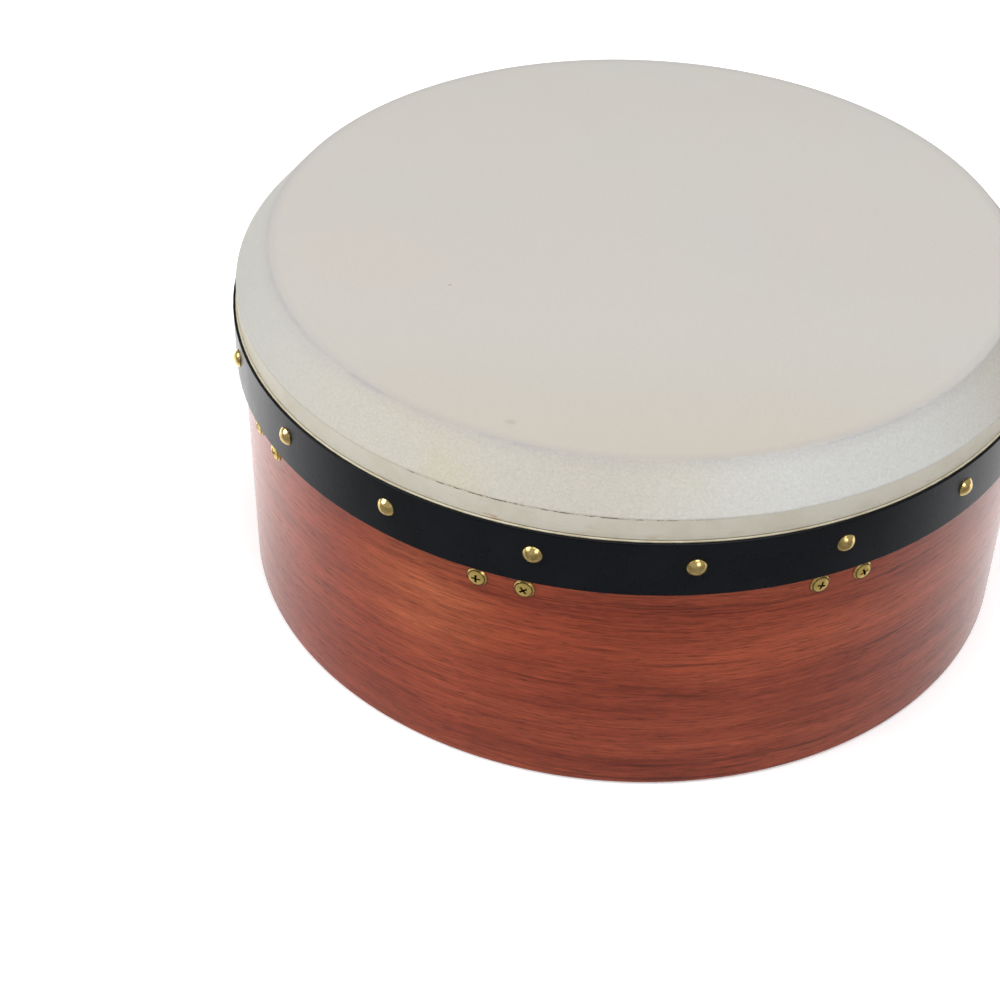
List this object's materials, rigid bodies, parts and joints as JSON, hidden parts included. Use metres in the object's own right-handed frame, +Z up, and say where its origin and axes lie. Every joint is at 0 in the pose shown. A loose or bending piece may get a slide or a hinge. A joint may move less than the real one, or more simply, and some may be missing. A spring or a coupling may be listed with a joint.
{
  "type": "bodhran",
  "caption": "Deep bent-wood frame drum with a tacked goatskin head lifted by an inner ring, tuned by socket-head bolts, with a grip bar across the open back.",
  "frame": {"origin": "centre of the drum's open bottom edge, on the surface it stands on", "axes": "+Z up along the drum's axis, towards the skin; -Y is the front; +X is to the right seen from the front; the grip bar lies along X"},
  "size_m": [0.3674, 0.3624, 0.1643],
  "materials": {
    "shell_wood": "reddish brown stain under satin lacquer",
    "skin": "natural goatskin, matt",
    "backing": "pale hide strip, matt",
    "black_band": "black, satin",
    "brass": "polished",
    "bar_wood": "reddish brown stain under satin lacquer",
    "ring_wood": "clear satin lacquer",
    "zinc_steel": "zinc plated",
    "bolt_steel": "zinc plated"
  },
  "bodies": {
    "shell": {"shell_hoop": "shell_wood", "skin_bevel": "skin", "skin_skirt": "skin", "band_backing": "backing", "band_strip": "black_band", "band_tacks": "brass", "bracket_nuts": "zinc_steel", "bracket_screws": "brass", "bracket_screw_cups": "brass", "bracket_screw_nuts": "zinc_steel", "cross_bar": "bar_wood", "cross_bar_screws": "brass", "cross_bar_cups": "brass", "tuner_bracket_1": "zinc_steel", "tuner_bracket_2": "zinc_steel", "tuner_bracket_3": "zinc_steel", "tuner_bracket_4": "zinc_steel", "tuner_bracket_5": "zinc_steel", "tuner_bracket_6": "zinc_steel", "tuner_bracket_7": "zinc_steel", "tuner_bracket_8": "zinc_steel"},
    "tuning_ring": {"tuning_ring": "ring_wood", "ring_pressure_plates": "zinc_steel", "skin_head": "skin"},
    "tuning_bolt_1": {"tuning_bolt_1": "bolt_steel"},
    "tuning_bolt_2": {"tuning_bolt_2": "bolt_steel"},
    "tuning_bolt_3": {"tuning_bolt_3": "bolt_steel"},
    "tuning_bolt_4": {"tuning_bolt_4": "bolt_steel"},
    "tuning_bolt_5": {"tuning_bolt_5": "bolt_steel"},
    "tuning_bolt_6": {"tuning_bolt_6": "bolt_steel"},
    "tuning_bolt_7": {"tuning_bolt_7": "bolt_steel"},
    "tuning_bolt_8": {"tuning_bolt_8": "bolt_steel"}
  },
  "joints": [
    {"name": "ring_lift", "type": "slide", "parent": "shell", "child": "tuning_ring", "axis": [0, 0, 1], "range_m": [-0.003, 0.002], "deforming": ["skin_bevel"]},
    {"name": "bolt_1_turn", "type": "hinge", "parent": "tuning_ring", "child": "tuning_bolt_1", "pos_m": [-0.04115, -0.15358, 0.11], "axis": [0, 0, 1], "range_deg": [-1080, 720]},
    {"name": "bolt_2_turn", "type": "hinge", "parent": "tuning_ring", "child": "tuning_bolt_2", "pos_m": [0.0795, -0.1377, 0.11], "axis": [0, 0, 1], "range_deg": [-1080, 720]},
    {"name": "bolt_3_turn", "type": "hinge", "parent": "tuning_ring", "child": "tuning_bolt_3", "pos_m": [0.15358, -0.04115, 0.11], "axis": [0, 0, 1], "range_deg": [-1080, 720]},
    {"name": "bolt_4_turn", "type": "hinge", "parent": "tuning_ring", "child": "tuning_bolt_4", "pos_m": [0.1377, 0.0795, 0.11], "axis": [0, 0, 1], "range_deg": [-1080, 720]},
    {"name": "bolt_5_turn", "type": "hinge", "parent": "tuning_ring", "child": "tuning_bolt_5", "pos_m": [0.04115, 0.15358, 0.11], "axis": [0, 0, 1], "range_deg": [-1080, 720]},
    {"name": "bolt_6_turn", "type": "hinge", "parent": "tuning_ring", "child": "tuning_bolt_6", "pos_m": [-0.0795, 0.1377, 0.11], "axis": [0, 0, 1], "range_deg": [-1080, 720]},
    {"name": "bolt_7_turn", "type": "hinge", "parent": "tuning_ring", "child": "tuning_bolt_7", "pos_m": [-0.15358, 0.04115, 0.11], "axis": [0, 0, 1], "range_deg": [-1080, 720]},
    {"name": "bolt_8_turn", "type": "hinge", "parent": "tuning_ring", "child": "tuning_bolt_8", "pos_m": [-0.1377, -0.0795, 0.11], "axis": [0, 0, 1], "range_deg": [-1080, 720]}
  ],
  "couplings": [
    {"joint": "bolt_1_turn", "follows": "ring_lift", "rad_per_m": 6283.2},
    {"joint": "bolt_2_turn", "follows": "ring_lift", "rad_per_m": 6283.2},
    {"joint": "bolt_3_turn", "follows": "ring_lift", "rad_per_m": 6283.2},
    {"joint": "bolt_4_turn", "follows": "ring_lift", "rad_per_m": 6283.2},
    {"joint": "bolt_5_turn", "follows": "ring_lift", "rad_per_m": 6283.2},
    {"joint": "bolt_6_turn", "follows": "ring_lift", "rad_per_m": 6283.2},
    {"joint": "bolt_7_turn", "follows": "ring_lift", "rad_per_m": 6283.2},
    {"joint": "bolt_8_turn", "follows": "ring_lift", "rad_per_m": 6283.2}
  ]
}
